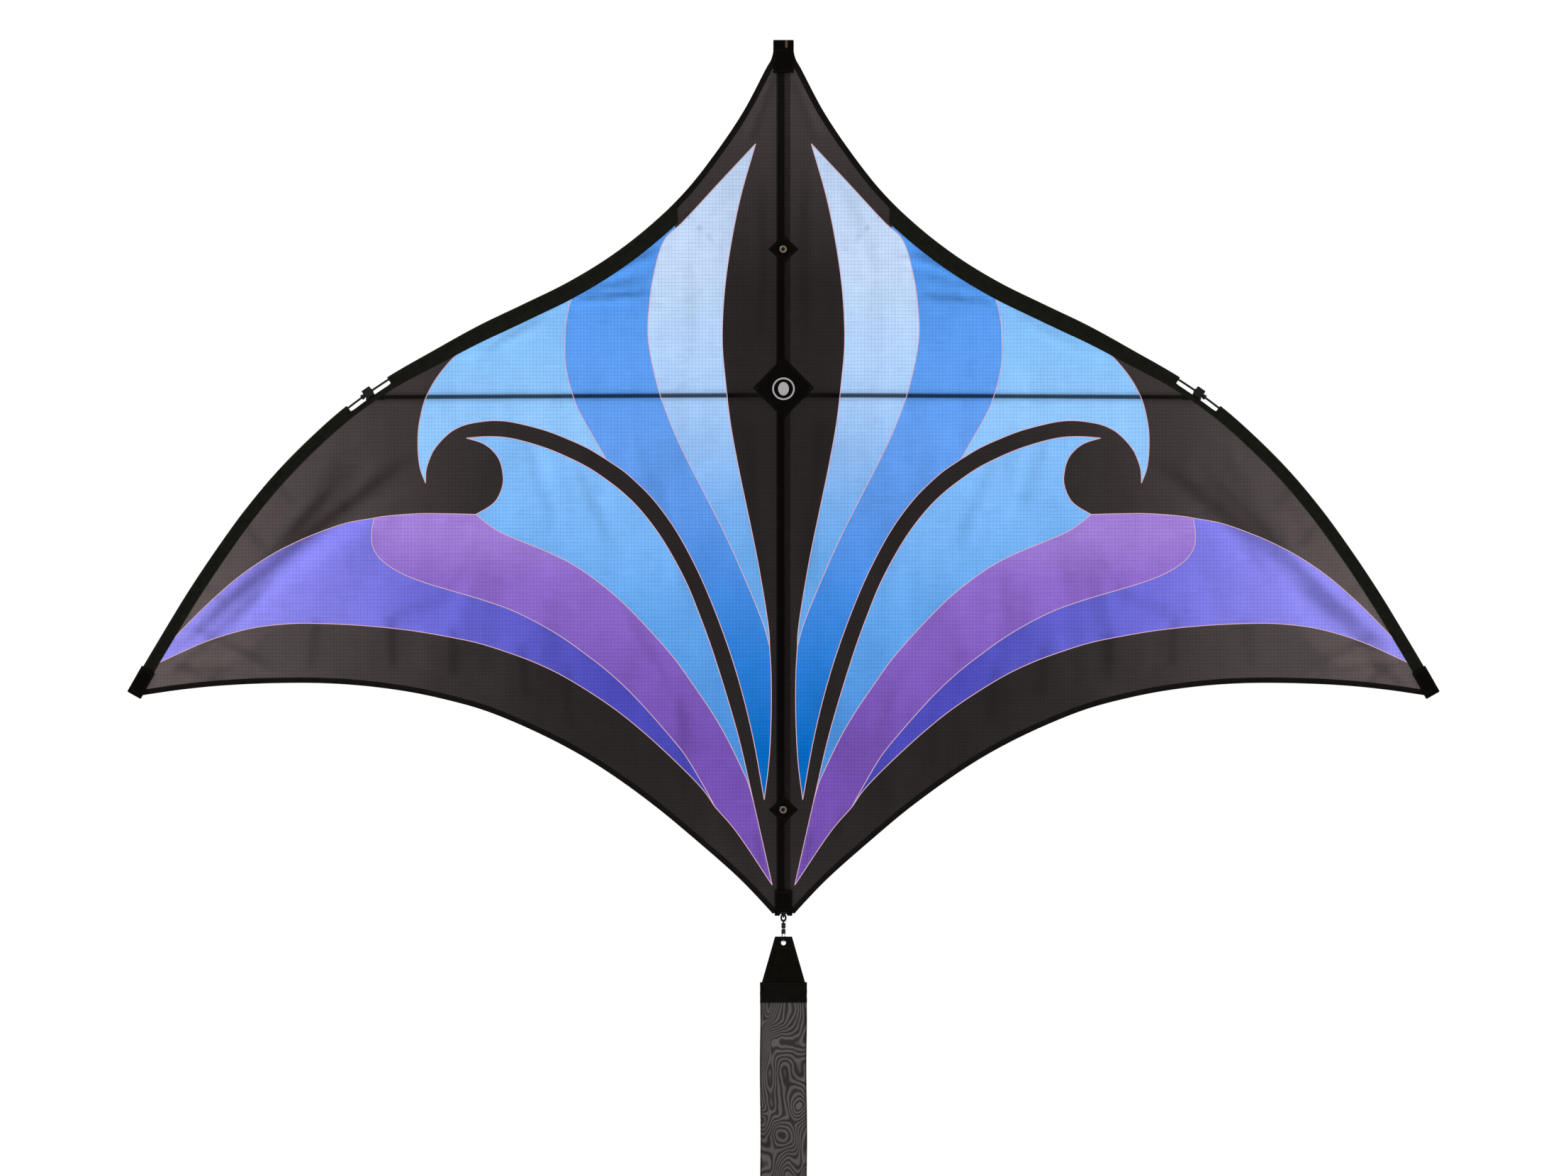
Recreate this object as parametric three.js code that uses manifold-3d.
// Framed single-line kite with manta-shaped wings and a ribbon tail.
// It hangs by the webbing fold at its nose: +Z is up towards the nose, the front of the sail faces -Y, and +X is to
// the right when looking at the front. The origin is on top of the nose fold, in the plane of the sail.
// All lengths are millimetres. Each wing is modelled once, on the right, and mirrored for the left.
import * as THREE from "three";
import { mergeVertices } from "three/addons/utils/BufferGeometryUtils.js";
import Module from "manifold-3d";

const wasm = await Module();
wasm.setup();

// ---------------------------------------------------------------- driving dimensions
const HALF_SPAN = 900; // centre line to wing tip
const HEIGHT = 1203.6; // nose fold to lower edge of the bottom webbing
const HINGE_X = 10.5; // fold line of each wing, beside the spine pocket
const SEAM_GAP = 0.3; // clearance kept between neighbouring pieces
const SAIL_T = 0.6; // modelled thickness of the sail cloth

const SPINE_R = 3; // 6 mm spine tube
const SPINE_X = -3.5; // the spine lies against the left seam of its pocket
const SPINE_Y = 4.4;
const SPINE_TOP = -4;
const SPINE_END = -1186;

const EDGE_ROD_R = 1.5; // 3 mm leading-edge rod
const EDGE_ROD_U = 3.8; // its distance inside the fold of the sleeve
const SLEEVE_START_X = 146.5;
const NOTCH_A = [544.4, -463.5]; // cut-out of the sleeve that bares the rod for the connector
const NOTCH_B = [600.1, -502.7];
const NOTCH_DEPTH = 10.2;

const NOSE_BINDING_W = 8;
const TAIL_BINDING_W = 7.5;
const BINDING_T = 1.5;

const SPREADER_R = 3; // 6 mm cross spreader in two halves
const SPREADER_END = [572, 7.7, -490.7]; // outer end, inside the connector socket
const SPREADER_MID = [24, 13.5, -487.6]; // inner end, inside the centre tube
const SOCKET_R = 4.3;
const SOCKET_MOUTH_X = 544.2;
const CENTRE_TUBE_R = 4.5;
const CENTRE_TUBE_L = 64;

const NOSE_WEB = { w: 28.2, l: 45.3 };
const BOTTOM_WEB = { w: 24.3, top: -1168, notch: 16, notchTop: 8, notchH: 4.4 };
const WEB_T = 1.4;
const WEB_FRONT = -2.5; // front face of the webbing folds
const WEB_BACK = 10.4; // back face

const PATCH_T = 1.0;
const PATCHES = {
  upper: { z: -287.8, w: 20.9, h: 19.5 },
  centre: { z: -478, w: 41.9, h: 42.8 },
  lower: { z: -1057.6, w: 20.2, h: 19.0 },
};
const EYELET_X = -0.4;
const EYELET_R = 5.1; // flange
const EYELET_HOLE_R = 2.5;

const HANG_Y = 3.8; // the tail hangs in this plane
const RING = { z: -1206.5, R: 3.1, r: 1.3, stretch: 1.36 };
const LOOP_R = 1.0;
const BARREL = { top: -1213.2, bottom: -1221.2, r: 3.0 };
const SNAP = { r: 0.55, a: 2.6, arcZ: -1236.2, top: -1221.6 };
const TAB = { top: -1232.1, wTop: 23.4, shoulder: -1294.9, wShoulder: 59.4, bottom: -1322.8, w: 60.4, t: 1.4, holeZ: -1240.8, holeR: 3.2 };
const BEND_Z = -1323.6;
const RIBBON = { w: 64.5, top: -1324.8, t: 1.4 };
const ROLL = { r: 23.5, z: -1606, bandT: 1.0, bandW: 10 };

// Outer edge of the right wing, [x, z]: leading edge from the nose to the tip, then trailing edge from the tip inwards.
const LEADING_EDGE = [
  [17.2, -27.7], [22.9, -37.5], [55, -98.3], [93.5, -155.8], [136.3, -209.8], [185, -256.5], [239.5, -298.4],
  [297.7, -333.7], [357.6, -363.1], [419.4, -392.8], [481, -426.9], [544.4, -463.5], [600.1, -502.7], [647.4, -544.2],
  [695.6, -592.9], [740.4, -646.5], [780.8, -702.4], [819.3, -760.4], [854.8, -818.8], [881, -863], [HALF_SPAN, -896.3],
];
const TRAILING_EDGE = [
  [884, -901], [829, -893], [772, -887.3], [702, -884], [633, -884], [573, -888], [514, -896], [466, -906], [418, -919],
  [371, -937], [317, -962], [273, -986], [231, -1013], [175, -1054], [129, -1092], [62, -1151], [28, -1186], [14, -1201.5],
];
// Width of the leading-edge sleeve against distance from the centre line.
const SLEEVE_WIDTH = [[146, 23], [400, 23], [481, 20.3], [540, 18.2], [640, 17.2], [900, 17.2]];

// ---------------------------------------------------------------- materials
const mat = (color, roughness, metalness = 0) => new THREE.MeshStandardMaterial({ color, roughness, metalness });
const M = {
  sail: mat(0x5b9aef, 0.75),
  dacron: mat(0x16140f, 0.7),
  webbing: mat(0x0c0b0a, 0.85),
  rod: mat(0x1a1a1c, 0.35),
  plastic: mat(0x101012, 0.45),
  vinyl: mat(0x0c0c0d, 0.4),
  metal: mat(0x8d8674, 0.3, 1),
  cord: mat(0x11100e, 0.8),
  ribbon: mat(0x38352f, 0.8),
  elastic: mat(0x1a1a1a, 0.7),
};

// ---------------------------------------------------------------- geometry helpers
const V = (x, y, z) => new THREE.Vector3(x, y, z);

// Merges shared vertices and turns the faces outwards.
function closed(geometry) {
  let g = geometry.clone();
  g.deleteAttribute("normal");
  g.deleteAttribute("uv");
  g = mergeVertices(g, 1e-4);
  const p = g.attributes.position, ix = g.index.array, a = V(), b = V(), c = V();
  let volume = 0;
  for (let i = 0; i < ix.length; i += 3) {
    a.fromBufferAttribute(p, ix[i]);
    b.fromBufferAttribute(p, ix[i + 1]);
    c.fromBufferAttribute(p, ix[i + 2]);
    volume += a.dot(b.cross(c));
  }
  if (volume < 0)
    for (let i = 0; i < ix.length; i += 3) [ix[i + 1], ix[i + 2]] = [ix[i + 2], ix[i + 1]];
  return g;
}

function solid(geometry) {
  const g = closed(geometry);
  return new wasm.Manifold(
    new wasm.Mesh({ numProp: 3, vertProperties: new Float32Array(g.attributes.position.array), triVerts: new Uint32Array(g.index.array) }),
  );
}

function geometryOf(manifold) {
  const m = manifold.getMesh(), xyz = new Float32Array((m.vertProperties.length / m.numProp) * 3);
  for (let i = 0; i * m.numProp < m.vertProperties.length; i++)
    xyz.set(m.vertProperties.subarray(i * m.numProp, i * m.numProp + 3), i * 3);
  const g = new THREE.BufferGeometry();
  g.setAttribute("position", new THREE.BufferAttribute(xyz, 3));
  g.setIndex(new THREE.BufferAttribute(m.triVerts.slice(), 1));
  return g;
}

const joined = (...parts) => parts.slice(1).reduce((s, p) => s.add(solid(p)), solid(parts[0]));
const cut = (body, ...tools) => tools.reduce((s, t) => s.subtract(t instanceof THREE.BufferGeometry ? solid(t) : t), body);

function addTo(parent, name, geometry, material) {
  const g = geometry instanceof THREE.BufferGeometry ? closed(geometry) : geometryOf(geometry);
  g.computeVertexNormals();
  const mesh = new THREE.Mesh(g, material);
  mesh.name = name;
  parent.add(mesh);
  return mesh;
}

const shapeOf = (points) => new THREE.Shape(points.map(([x, y]) => new THREE.Vector2(x, y)));

// A flat outline given as [x, z], extruded from y0 to y1.
function plate(points, y0, y1, holes = []) {
  const s = shapeOf(points);
  for (const h of holes) s.holes.push(new THREE.Path(h.map(([x, z]) => new THREE.Vector2(x, z))));
  const g = new THREE.ExtrudeGeometry(s, { depth: y1 - y0, bevelEnabled: false, steps: 1 });
  return g.applyMatrix4(new THREE.Matrix4().set(1, 0, 0, 0, 0, 0, 1, y0, 0, 1, 0, 0, 0, 0, 0, 1));
}

const circle = (x, z, r, n = 20) => Array.from({ length: n }, (_, i) => [x + r * Math.cos((2 * Math.PI * i) / n), z + r * Math.sin((2 * Math.PI * i) / n)]);

function box(x0, x1, y0, y1, z0, z1) {
  return new THREE.BoxGeometry(x1 - x0, y1 - y0, z1 - z0).translate((x0 + x1) / 2, (y0 + y1) / 2, (z0 + z1) / 2);
}

// A cylinder between two points.
function rod(a, b, r, n = 12) {
  const d = b.clone().sub(a);
  return new THREE.CylinderGeometry(r, r, d.length(), n)
    .applyQuaternion(new THREE.Quaternion().setFromUnitVectors(V(0, 1, 0), d.clone().normalize()))
    .translate((a.x + b.x) / 2, (a.y + b.y) / 2, (a.z + b.z) / 2);
}

// A body of revolution about the Y direction through (x, 0, z); the profile is [radius, y], closed on itself.
function lathe(x, z, profile, n = 20) {
  const pts = [...profile, profile[0]].map(([r, y]) => new THREE.Vector2(r, y));
  return new THREE.LatheGeometry(pts, n).translate(x, 0, z);
}

// An edge of the wing as a curve in the XZ plane, walked by arc length.
class Edge {
  constructor(points) {
    this.curve = new THREE.CatmullRomCurve3(points.map(([x, z]) => V(x, 0, z)), false, "centripetal");
    this.curve.arcLengthDivisions = 1200;
    this.length = this.curve.getLength();
  }
  point(s) {
    const k = s / this.length;
    if (k < 0) return this.curve.getPointAt(0).addScaledVector(this.curve.getTangentAt(0), s);
    if (k > 1) return this.curve.getPointAt(1).addScaledVector(this.curve.getTangentAt(1), s - this.length);
    return this.curve.getPointAt(k);
  }
  tangent(s) {
    const h = 4;
    return this.point(s + h).sub(this.point(s - h)).normalize();
  }
  inward(s) {
    const t = this.tangent(s);
    return V(t.z, 0, -t.x);
  }
  // A point u inside the edge and v behind the sail plane.
  at(s, u, v) {
    return this.point(s).addScaledVector(this.inward(s), u).add(V(0, v, 0));
  }
  nearest(x, z) {
    let best = 0, bestD = Infinity;
    for (let s = 0; s <= this.length; s += 0.5) {
      const p = this.point(s), d = (p.x - x) ** 2 + (p.z - z) ** 2;
      if (d < bestD) [best, bestD] = [s, d];
    }
    return best;
  }
}

// Sweeps a (u, v) section along an edge. from and to may depend on u, for slanted ends; widen maps u at arc length s.
function sweep(edge, section, from, to, steps, widen = (u) => u, hole = null) {
  const shape = shapeOf(section);
  if (hole) shape.holes.push(new THREE.Path(hole.map(([u, v]) => new THREE.Vector2(u, v))));
  const g = new THREE.ExtrudeGeometry(shape, { depth: 1, steps, bevelEnabled: false });
  const p = g.attributes.position;
  for (let i = 0; i < p.count; i++) {
    const u = p.getX(i), v = p.getY(i), t = p.getZ(i);
    const s = from(u) + (to(u) - from(u)) * t, q = edge.at(s, widen(u, s), v);
    p.setXYZ(i, q.x, q.y, q.z);
  }
  return g;
}
const rect = (u0, u1, v0, v1) => [[u0, v0], [u1, v0], [u1, v1], [u0, v1]];

const table = (rows, x) => {
  if (x <= rows[0][0]) return rows[0][1];
  for (let i = 1; i < rows.length; i++)
    if (x <= rows[i][0]) {
      const [x0, y0] = rows[i - 1], [x1, y1] = rows[i];
      return y0 + ((y1 - y0) * (x - x0)) / (x1 - x0);
    }
  return rows[rows.length - 1][1];
};

const kite = new THREE.Group();

// ---------------------------------------------------------------- one wing, built on the right
const le = new Edge(LEADING_EDGE);
const te = new Edge(TRAILING_EDGE);
const sleeveS = le.nearest(SLEEVE_START_X, -219.5);
const sleeveFrom = (u) => sleeveS + 1.2 * Math.max(0, Math.min(u, 20)); // vertical cut
const sNotchA = le.nearest(...NOTCH_A), sNotchB = le.nearest(...NOTCH_B);
const sleeveWidth = (s) => table(SLEEVE_WIDTH, le.point(Math.min(s, le.length)).x);
const SECTION_W = 18;
const widen = (extra = 0) => (u, s) => (u <= 5.4 ? u : 5.4 + ((u - 5.4) * (sleeveWidth(s) + extra - 5.4)) / (SECTION_W - 5.4));
const sTip = le.length;
const connectorS = (sNotchA + sNotchB) / 2 - 0.5;

const spreaderA = V(...SPREADER_END), spreaderB = V(...SPREADER_MID);
const spreaderDir = spreaderB.clone().sub(spreaderA).normalize();
const onSpreader = (x) => spreaderA.clone().addScaledVector(spreaderDir, (x - spreaderA.x) / spreaderDir.x);

function localBox(s, s0, s1, u0, u1, v0, v1) {
  const t = le.tangent(s), n = le.inward(s), o = le.point(s);
  const g = new THREE.BoxGeometry(s1 - s0, u1 - u0, v1 - v0).translate((s0 + s1) / 2, (u0 + u1) / 2, (v0 + v1) / 2);
  const m = new THREE.Matrix4().makeBasis(t, n, V(0, 1, 0)).setPosition(o);
  return g.applyMatrix4(m);
}

function makeWing(side, group) {
  const name = (n) => n + "_" + side;

  // Sail: the outline of the wing less the sleeve and the edge tapes.
  const outline = [[HINGE_X + SEAM_GAP, -41]];
  for (let s = 6; s < sTip - 1; s += s < 200 ? 12 : 24) outline.push([le.point(s).x, le.point(s).z]);
  outline.push([HALF_SPAN, -896.3]);
  for (let s = 0; s < te.length; s += 22) outline.push([te.point(s).x, te.point(s).z]);
  outline.push([14, -1201.5], [HINGE_X + SEAM_GAP, -1203]);
  const tall = 6;
  const sail = cut(
    solid(plate(outline, -SAIL_T / 2, SAIL_T / 2)),
    sweep(le, rect(-12, NOSE_BINDING_W + SEAM_GAP, -tall, tall), () => -12, () => sleeveS + 12, 12),
    sweep(le, rect(0, SECTION_W, -tall, tall), (u) => sleeveFrom(u) - 2 * SEAM_GAP, () => sTip + 12, 44, widen(SEAM_GAP)),
    sweep(le, rect(-12, 3, -tall, tall), () => sleeveS + 4, () => sTip + 12, 44),
    sweep(te, rect(-12, TAIL_BINDING_W + SEAM_GAP, -tall, tall), () => -30, () => te.length + 30, 44),
  );
  addTo(group, name("sail"), sail, M.sail);

  // Leading-edge sleeve: a folded and sewn tube of Dacron, open at both ends and notched for the connector.
  const outer = [[0, 0], [2.2, -2.3], [5.4, -2.3], [SECTION_W, -0.8], [SECTION_W, 0.8], [5.4, 2.3], [2.2, 2.3]];
  const inner = [[0.9, 0], [2.6, 1.85], [5.1, 1.85], [10.6, 0.35], [10.6, -0.35], [5.1, -1.85], [2.6, -1.85]];
  const sleeve = cut(
    solid(sweep(le, outer, sleeveFrom, () => sTip - 2.2, 36, widen(), inner)),
    sweep(le, rect(-5, NOTCH_DEPTH, -5, 5), () => sNotchA, () => sNotchB, 4),
  );
  addTo(group, name("edge_sleeve"), sleeve, M.dacron);

  // Leading-edge rod.
  const ring8 = (r) => Array.from({ length: 8 }, (_, i) => {
    const a = (Math.PI * (2 * i + 1)) / 8;
    return [EDGE_ROD_U + r * Math.cos(a), r * Math.sin(a)];
  });
  addTo(group, name("edge_rod"), sweep(le, ring8(EDGE_ROD_R), () => sleeveS + 14, () => sTip - 7, 36), M.rod);
  // Vinyl end cap pushed on the rod's outer end.
  const capS = sTip - 6.6;
  addTo(group, name("edge_rod_cap"), sweep(le, ring8(EDGE_ROD_R + 0.12), () => capS, () => sTip - 2.6, 1), M.vinyl);

  // Edge tapes.
  addTo(group, name("nose_binding"), sweep(le, rect(0, NOSE_BINDING_W, -BINDING_T / 2, BINDING_T / 2), () => 3, (u) => sleeveFrom(u) - SEAM_GAP, 12), M.dacron);
  addTo(
    group,
    name("trailing_binding"),
    cut(
      solid(sweep(te, rect(0, TAIL_BINDING_W, -BINDING_T / 2, BINDING_T / 2), () => -6, () => te.length - 3, 26)),
      sweep(le, rect(-30, SECTION_W, -tall, tall), () => sTip - 120, () => sTip + 12, 6, widen(SEAM_GAP)),
    ),
    M.dacron,
  );

  // Wing-tip webbing, folded over the end of the sleeve.
  const tipS = sTip - 41, fold = [[0, -3.9], [41, -3.9], [41, 3.9], [0, 3.9], [0, 2.7], [39.6, 2.7], [39.6, -2.7], [0, -2.7]];
  const tip = new THREE.ExtrudeGeometry(shapeOf(fold), { depth: 20.6, bevelEnabled: false });
  const tM = le.tangent(sTip - 20), nM = le.inward(sTip - 20), o = le.at(sTip, -1.4, 0).addScaledVector(tM, -41);
  // shape x runs along the edge, shape y runs front to back, depth runs inwards
  tip.applyMatrix4(new THREE.Matrix4().makeBasis(tM, V(0, 1, 0), nM).setPosition(o));
  addTo(group, name("tip_webbing"), tip, M.webbing);

  // Moulded connector: a block that clips on the rod, with the spreader socket behind the sail.
  const connector = cut(
    joined(
      localBox(connectorS, -6.5, 6.5, -3.6, 9.9, -3.2, 4.2),
      localBox(connectorS, -5.2, 5.2, -1.5, 13.5, 2.6, 8.5),
      rod(onSpreader(575), onSpreader(SOCKET_MOUTH_X), SOCKET_R, 16),
    ),
    rod(le.at(connectorS - 12, EDGE_ROD_U, 0), le.at(connectorS + 12, EDGE_ROD_U, 0), 1.95, 12),
    rod(onSpreader(573.2), onSpreader(SOCKET_MOUTH_X - 2), SPREADER_R + 0.35, 16),
  );
  addTo(group, name("connector"), connector, M.plastic);

  // Stopper clip on the rod, below the connector.
  addTo(
    group,
    name("stopper"),
    cut(
      solid(rod(le.at(connectorS + 7.4, EDGE_ROD_U, 0), le.at(connectorS + 11.6, EDGE_ROD_U, 0), 3.5, 12)),
      rod(le.at(connectorS + 2, EDGE_ROD_U, 0), le.at(connectorS + 16, EDGE_ROD_U, 0), 1.95, 12),
    ),
    M.plastic,
  );

  // Half of the cross spreader.
  addTo(group, name("spreader"), rod(spreaderA, spreaderB, SPREADER_R, 12), M.rod);
}
const rightWing = new THREE.Group();
makeWing("right", rightWing);
kite.add(rightWing);
const leftWing = new THREE.Group();
leftWing.scale.x = -1;
makeWing("left", leftWing);
kite.add(leftWing);

// ---------------------------------------------------------------- spine and centre
const stripHoles = [PATCHES.upper, PATCHES.lower].map((p) => circle(EYELET_X, p.z, 3.5, 16));
const stripX = HINGE_X - SEAM_GAP;
addTo(kite, "sail_centre", plate([[-stripX, -14], [stripX, -14], [stripX, -1178], [-stripX, -1178]], -SAIL_T / 2, SAIL_T / 2, stripHoles), M.sail);

addTo(kite, "spine", rod(V(SPINE_X, SPINE_Y, SPINE_TOP), V(SPINE_X, SPINE_Y, SPINE_END), SPINE_R, 16), M.rod);
for (const [name, inner, outer] of [["spine_cap_top", -13, -2.4], ["spine_cap_bottom", -1179.6, -1189.6]]) {
  const d = Math.sign(outer - inner);
  addTo(
    kite,
    name,
    cut(
      solid(rod(V(SPINE_X, SPINE_Y, inner), V(SPINE_X, SPINE_Y, outer), 4.1, 16)),
      rod(V(SPINE_X, SPINE_Y, inner - d), V(SPINE_X, SPINE_Y, (d > 0 ? SPINE_TOP : SPINE_END) + d * SEAM_GAP), SPINE_R + SEAM_GAP, 16),
    ),
    M.vinyl,
  );
}

// Spine pocket: a tape sewn flat on both sides and arched over the spine, with windows behind the two eyelets.
const arch = (r, from, to, n = 10) =>
  Array.from({ length: n + 1 }, (_, i) => {
    const a = from + ((to - from) * i) / n;
    return [SPINE_X + r * Math.cos(a), SPINE_Y + r * Math.sin(a)];
  });
const pocketSection = [
  [-10, 0.6], [-10, 1.1], [SPINE_X - 4, 1.1],
  ...arch(4, Math.PI, 0, 10),
  [SPINE_X + 4, 1.1], [9.5, 1.1], [9.5, 0.6], [SPINE_X + 3.42, 0.6],
  ...arch(3.42, 0, Math.PI, 8),
  [SPINE_X - 3.42, 0.6],
];
const pocket = new THREE.ExtrudeGeometry(shapeOf(pocketSection), { depth: 1177.4 - 14.6, bevelEnabled: false }).translate(0, 0, -1177.4);
addTo(
  kite,
  "spine_pocket",
  cut(
    solid(pocket),
    ...[PATCHES.upper, PATCHES.lower].map((p) => box(-7.9, 12, -1, 12, p.z - 8, p.z + 8)),
  ),
  M.dacron,
);

// Folded webbing over the nose and under the bottom end of the spine.
const noseW = NOSE_WEB.w / 2;
addTo(
  kite,
  "nose_webbing",
  joined(
    box(-noseW, noseW, WEB_FRONT, WEB_FRONT + WEB_T, -NOSE_WEB.l, 0),
    box(-noseW, noseW, WEB_BACK - WEB_T, WEB_BACK, -NOSE_WEB.l, 0),
    box(-noseW, noseW, WEB_FRONT, WEB_BACK, -WEB_T, 0),
  ),
  M.webbing,
);
const botW = BOTTOM_WEB.w / 2;
addTo(
  kite,
  "bottom_webbing",
  cut(
    joined(
      box(-botW, botW, WEB_FRONT, WEB_FRONT + WEB_T, -HEIGHT, BOTTOM_WEB.top),
      box(-botW, botW, WEB_BACK - WEB_T, WEB_BACK, -HEIGHT, BOTTOM_WEB.top),
      box(-botW, botW, WEB_FRONT, WEB_BACK, -HEIGHT, -HEIGHT + WEB_T),
    ),
    plate(
      [[-BOTTOM_WEB.notch / 2, -HEIGHT - 1], [BOTTOM_WEB.notch / 2, -HEIGHT - 1], [BOTTOM_WEB.notch / 2, -HEIGHT + 1.2], [BOTTOM_WEB.notchTop / 2, -HEIGHT + BOTTOM_WEB.notchH], [-BOTTOM_WEB.notchTop / 2, -HEIGHT + BOTTOM_WEB.notchH], [-BOTTOM_WEB.notch / 2, -HEIGHT + 1.2]],
      WEB_FRONT - 2,
      WEB_BACK + 2,
    ),
  ),
  M.webbing,
);

// Cord loop, sewn in the bottom fold, that the swivel hangs on.
const loopBottom = RING.z + (RING.R - RING.r) * RING.stretch - SEAM_GAP - LOOP_R;
const loopPath = new THREE.CatmullRomCurve3(
  [V(0, HANG_Y - 3.2, -1191.5), V(0, HANG_Y - 3.15, -1197), V(0, HANG_Y - 2.9, loopBottom + 2.6), V(0, HANG_Y - 1.6, loopBottom + 0.5), V(0, HANG_Y, loopBottom), V(0, HANG_Y + 1.6, loopBottom + 0.5), V(0, HANG_Y + 2.9, loopBottom + 2.6), V(0, HANG_Y + 3.15, -1197), V(0, HANG_Y + 3.2, -1191.5)],
  false,
  "centripetal",
);
const roundSection = (r, n = 8) => {
  const s = new THREE.Shape();
  circle(0, 0, r, n).forEach(([x, y], i) => (i ? s.lineTo(x, y) : s.moveTo(x, y)));
  return s;
};
addTo(kite, "tail_loop", new THREE.ExtrudeGeometry(roundSection(LOOP_R), { steps: 22, extrudePath: loopPath, bevelEnabled: false }), M.cord);

// Diamond patches, with eyelets in the upper and the lower one.
for (const [key, p] of Object.entries(PATCHES)) {
  const holes = key === "centre" ? [] : [circle(EYELET_X, p.z, 3.5, 16)];
  addTo(kite, "patch_" + key, plate([[0, p.z + p.h], [-p.w, p.z], [0, p.z - p.h], [p.w, p.z]], -0.6 - PATCH_T, -0.6, holes), M.dacron);
  if (key === "centre") continue;
  const y0 = -0.6 - PATCH_T - SEAM_GAP;
  addTo(
    kite,
    "eyelet_" + key,
    lathe(EYELET_X, p.z, [[EYELET_HOLE_R, y0 - 0.45], [EYELET_HOLE_R + 0.4, y0 - 0.8], [EYELET_R - 0.8, y0 - 0.8], [EYELET_R, y0 - 0.2], [EYELET_R, y0], [3.15, y0], [3.15, 1.0], [EYELET_HOLE_R, 1.0]], 24),
    M.metal,
  );
  addTo(kite, "washer_" + key, lathe(EYELET_X, p.z, [[3.5, 0.6], [4.9, 0.6], [4.9, 1.0], [3.5, 1.0]], 20), M.metal);
}

// Flexible tube that joins the spreader halves, and the tape that ties it to the spine pocket.
const tubeAxis = (x) => V(x, SPREADER_MID[1], SPREADER_MID[2]);
addTo(
  kite,
  "centre_tube",
  cut(
    solid(rod(tubeAxis(-CENTRE_TUBE_L / 2), tubeAxis(CENTRE_TUBE_L / 2), CENTRE_TUBE_R, 16)),
    rod(tubeAxis(-CENTRE_TUBE_L / 2 - 2), tubeAxis(CENTRE_TUBE_L / 2 + 2), SPREADER_R + 0.35, 16),
  ),
  M.vinyl,
);
const strapOuter = circle(SPREADER_MID[1], SPREADER_MID[2], CENTRE_TUBE_R + 1.2, 16).map(([y, z]) => [y, z]);
const strapInner = circle(SPREADER_MID[1], SPREADER_MID[2], CENTRE_TUBE_R + 0.4, 16);
const strapShape = shapeOf(strapOuter);
strapShape.holes.push(new THREE.Path(strapInner.map(([y, z]) => new THREE.Vector2(y, z))));
const strapRing = new THREE.ExtrudeGeometry(strapShape, { depth: 4.6, bevelEnabled: false });
strapRing.applyMatrix4(new THREE.Matrix4().set(0, 0, 1, -2.3, 1, 0, 0, 0, 0, 1, 0, 0, 0, 0, 0, 1));
addTo(
  kite,
  "centre_strap",
  cut(solid(strapRing), box(-4, 4, 0, 8.75, -520, -460)),
  M.webbing,
);

// ---------------------------------------------------------------- swivel, snap and tail
const ringGeo = new THREE.TorusGeometry(RING.R, RING.r, 8, 20).rotateX(Math.PI / 2).scale(1, 1, RING.stretch).translate(0, HANG_Y, RING.z);
addTo(
  kite,
  "swivel_eye",
  joined(ringGeo, rod(V(0, HANG_Y, RING.z - RING.R * RING.stretch - 0.4), V(0, HANG_Y, -1217.4), 0.95, 10)),
  M.metal,
);
const barrelProfile = [[1.3, BARREL.top], [2.2, BARREL.top], [BARREL.r, BARREL.top - 1.2], [BARREL.r, BARREL.bottom + 1.0], [1.9, BARREL.bottom], [0, BARREL.bottom], [0, -1217.9], [1.3, -1217.9]];
const barrel = new THREE.LatheGeometry([...barrelProfile.slice(5), ...barrelProfile.slice(0, 6)].slice(1, -1).concat([barrelProfile[5]]).map(([r, z]) => new THREE.Vector2(r, z)), 16);
barrel.applyMatrix4(new THREE.Matrix4().set(1, 0, 0, 0, 0, 0, -1, HANG_Y, 0, 1, 0, 0, 0, 0, 0, 1));
addTo(kite, "swivel_barrel", barrel, M.metal);

// Wire snap: a frame that passes through the tab and a springy gate, in a plane turned 45 degrees from the sail.
const DIAG = V(Math.SQRT1_2, Math.SQRT1_2, 0);
const inSnap = (a, z) => V(0, HANG_Y, z).addScaledVector(DIAG, a);
const framePts = [[-1.3, SNAP.top], [-1.9, SNAP.top - 1.6], [-SNAP.a, SNAP.top - 4.2], [-SNAP.a, (SNAP.top - 4.2 + SNAP.arcZ) / 2], [-SNAP.a, SNAP.arcZ]];
for (let i = 1; i < 8; i++) {
  const t = Math.PI + (Math.PI * i) / 8;
  framePts.push([SNAP.a * Math.cos(t), SNAP.arcZ + SNAP.a * Math.sin(t)]);
}
framePts.push([SNAP.a, SNAP.arcZ], [SNAP.a, SNAP.arcZ + 5.2]);
addTo(
  kite,
  "snap_frame",
  new THREE.ExtrudeGeometry(roundSection(SNAP.r), { steps: 26, extrudePath: new THREE.CatmullRomCurve3(framePts.map(([a, z]) => inSnap(a, z)), false, "centripetal"), bevelEnabled: false }),
  M.metal,
);
const gatePts = [[SNAP.a, SNAP.arcZ + 6.2], [SNAP.a, -1228], [SNAP.a, SNAP.top - 4.2], [1.9, SNAP.top - 1.6], [1.3, SNAP.top]];
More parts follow.
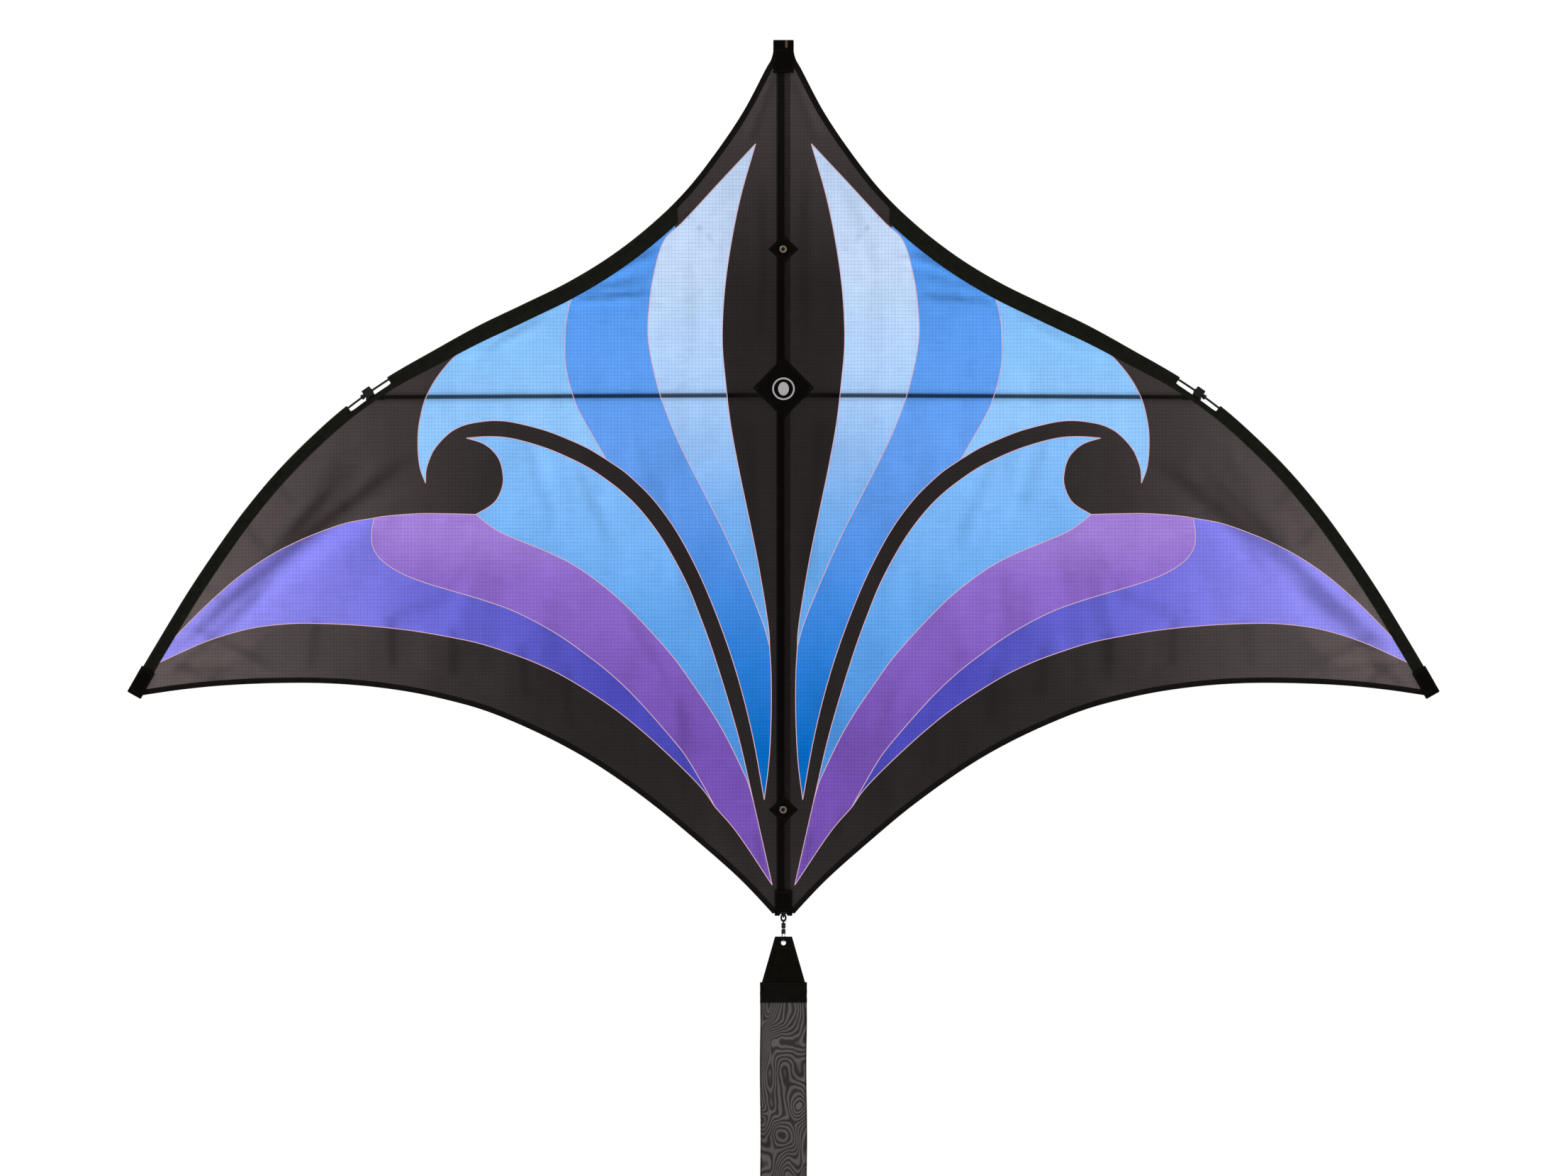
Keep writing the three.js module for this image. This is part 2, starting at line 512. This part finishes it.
addTo(
  kite,
  "snap_gate",
  new THREE.ExtrudeGeometry(roundSection(SNAP.r - 0.05), { steps: 12, extrudePath: new THREE.CatmullRomCurve3(gatePts.map(([a, z]) => inSnap(a, z)), false, "centripetal"), bevelEnabled: false }),
  M.metal,
);

addTo(
  kite,
  "tail_tab",
  plate(
    [[-TAB.wTop / 2, TAB.top], [-TAB.wShoulder / 2, TAB.shoulder], [-TAB.w / 2, TAB.bottom], [TAB.w / 2, TAB.bottom], [TAB.wShoulder / 2, TAB.shoulder], [TAB.wTop / 2, TAB.top]],
    HANG_Y - TAB.t / 2,
    HANG_Y + TAB.t / 2,
    [circle(0, TAB.holeZ, TAB.holeR, 20)],
  ),
  M.webbing,
);
// Hem of the ribbon: the top of the tube of cloth, sewn round the lower part of the tab.
const hemOut = RIBBON.w / 2 + 0.3, hemIn = TAB.w / 2 + 0.4;
addTo(
  kite,
  "tail_hem",
  cut(
    solid(box(-hemOut, hemOut, HANG_Y - 1.6, HANG_Y + 1.6, TAB.bottom - 0.2, TAB.shoulder)),
    box(-hemIn, hemIn, HANG_Y - 1.05, HANG_Y + 1.05, TAB.bottom - 2, TAB.shoulder + 2),
  ),
  M.ribbon,
);
addTo(kite, "tail_ribbon", box(-RIBBON.w / 2, RIBBON.w / 2, HANG_Y - RIBBON.t / 2, HANG_Y + RIBBON.t / 2, ROLL.z, RIBBON.top), M.ribbon);
// The rest of the ribbon, rolled up and held by an elastic band.
const rollY = HANG_Y + RIBBON.t / 2 + SEAM_GAP + ROLL.r + SEAM_GAP + ROLL.bandT;
addTo(kite, "tail_roll", rod(V(-RIBBON.w / 2, rollY, ROLL.z), V(RIBBON.w / 2, rollY, ROLL.z), ROLL.r, 40), M.ribbon);
const bandIn = ROLL.r + SEAM_GAP, bandGeo = new THREE.LatheGeometry(
  [[bandIn, -ROLL.bandW / 2], [bandIn + ROLL.bandT, -ROLL.bandW / 2], [bandIn + ROLL.bandT, ROLL.bandW / 2], [bandIn, ROLL.bandW / 2], [bandIn, -ROLL.bandW / 2]].map(([r, y]) => new THREE.Vector2(r, y)),
  40,
).rotateZ(Math.PI / 2).translate(0, rollY, ROLL.z);
addTo(kite, "roll_band", bandGeo, M.elastic);

export default kite;
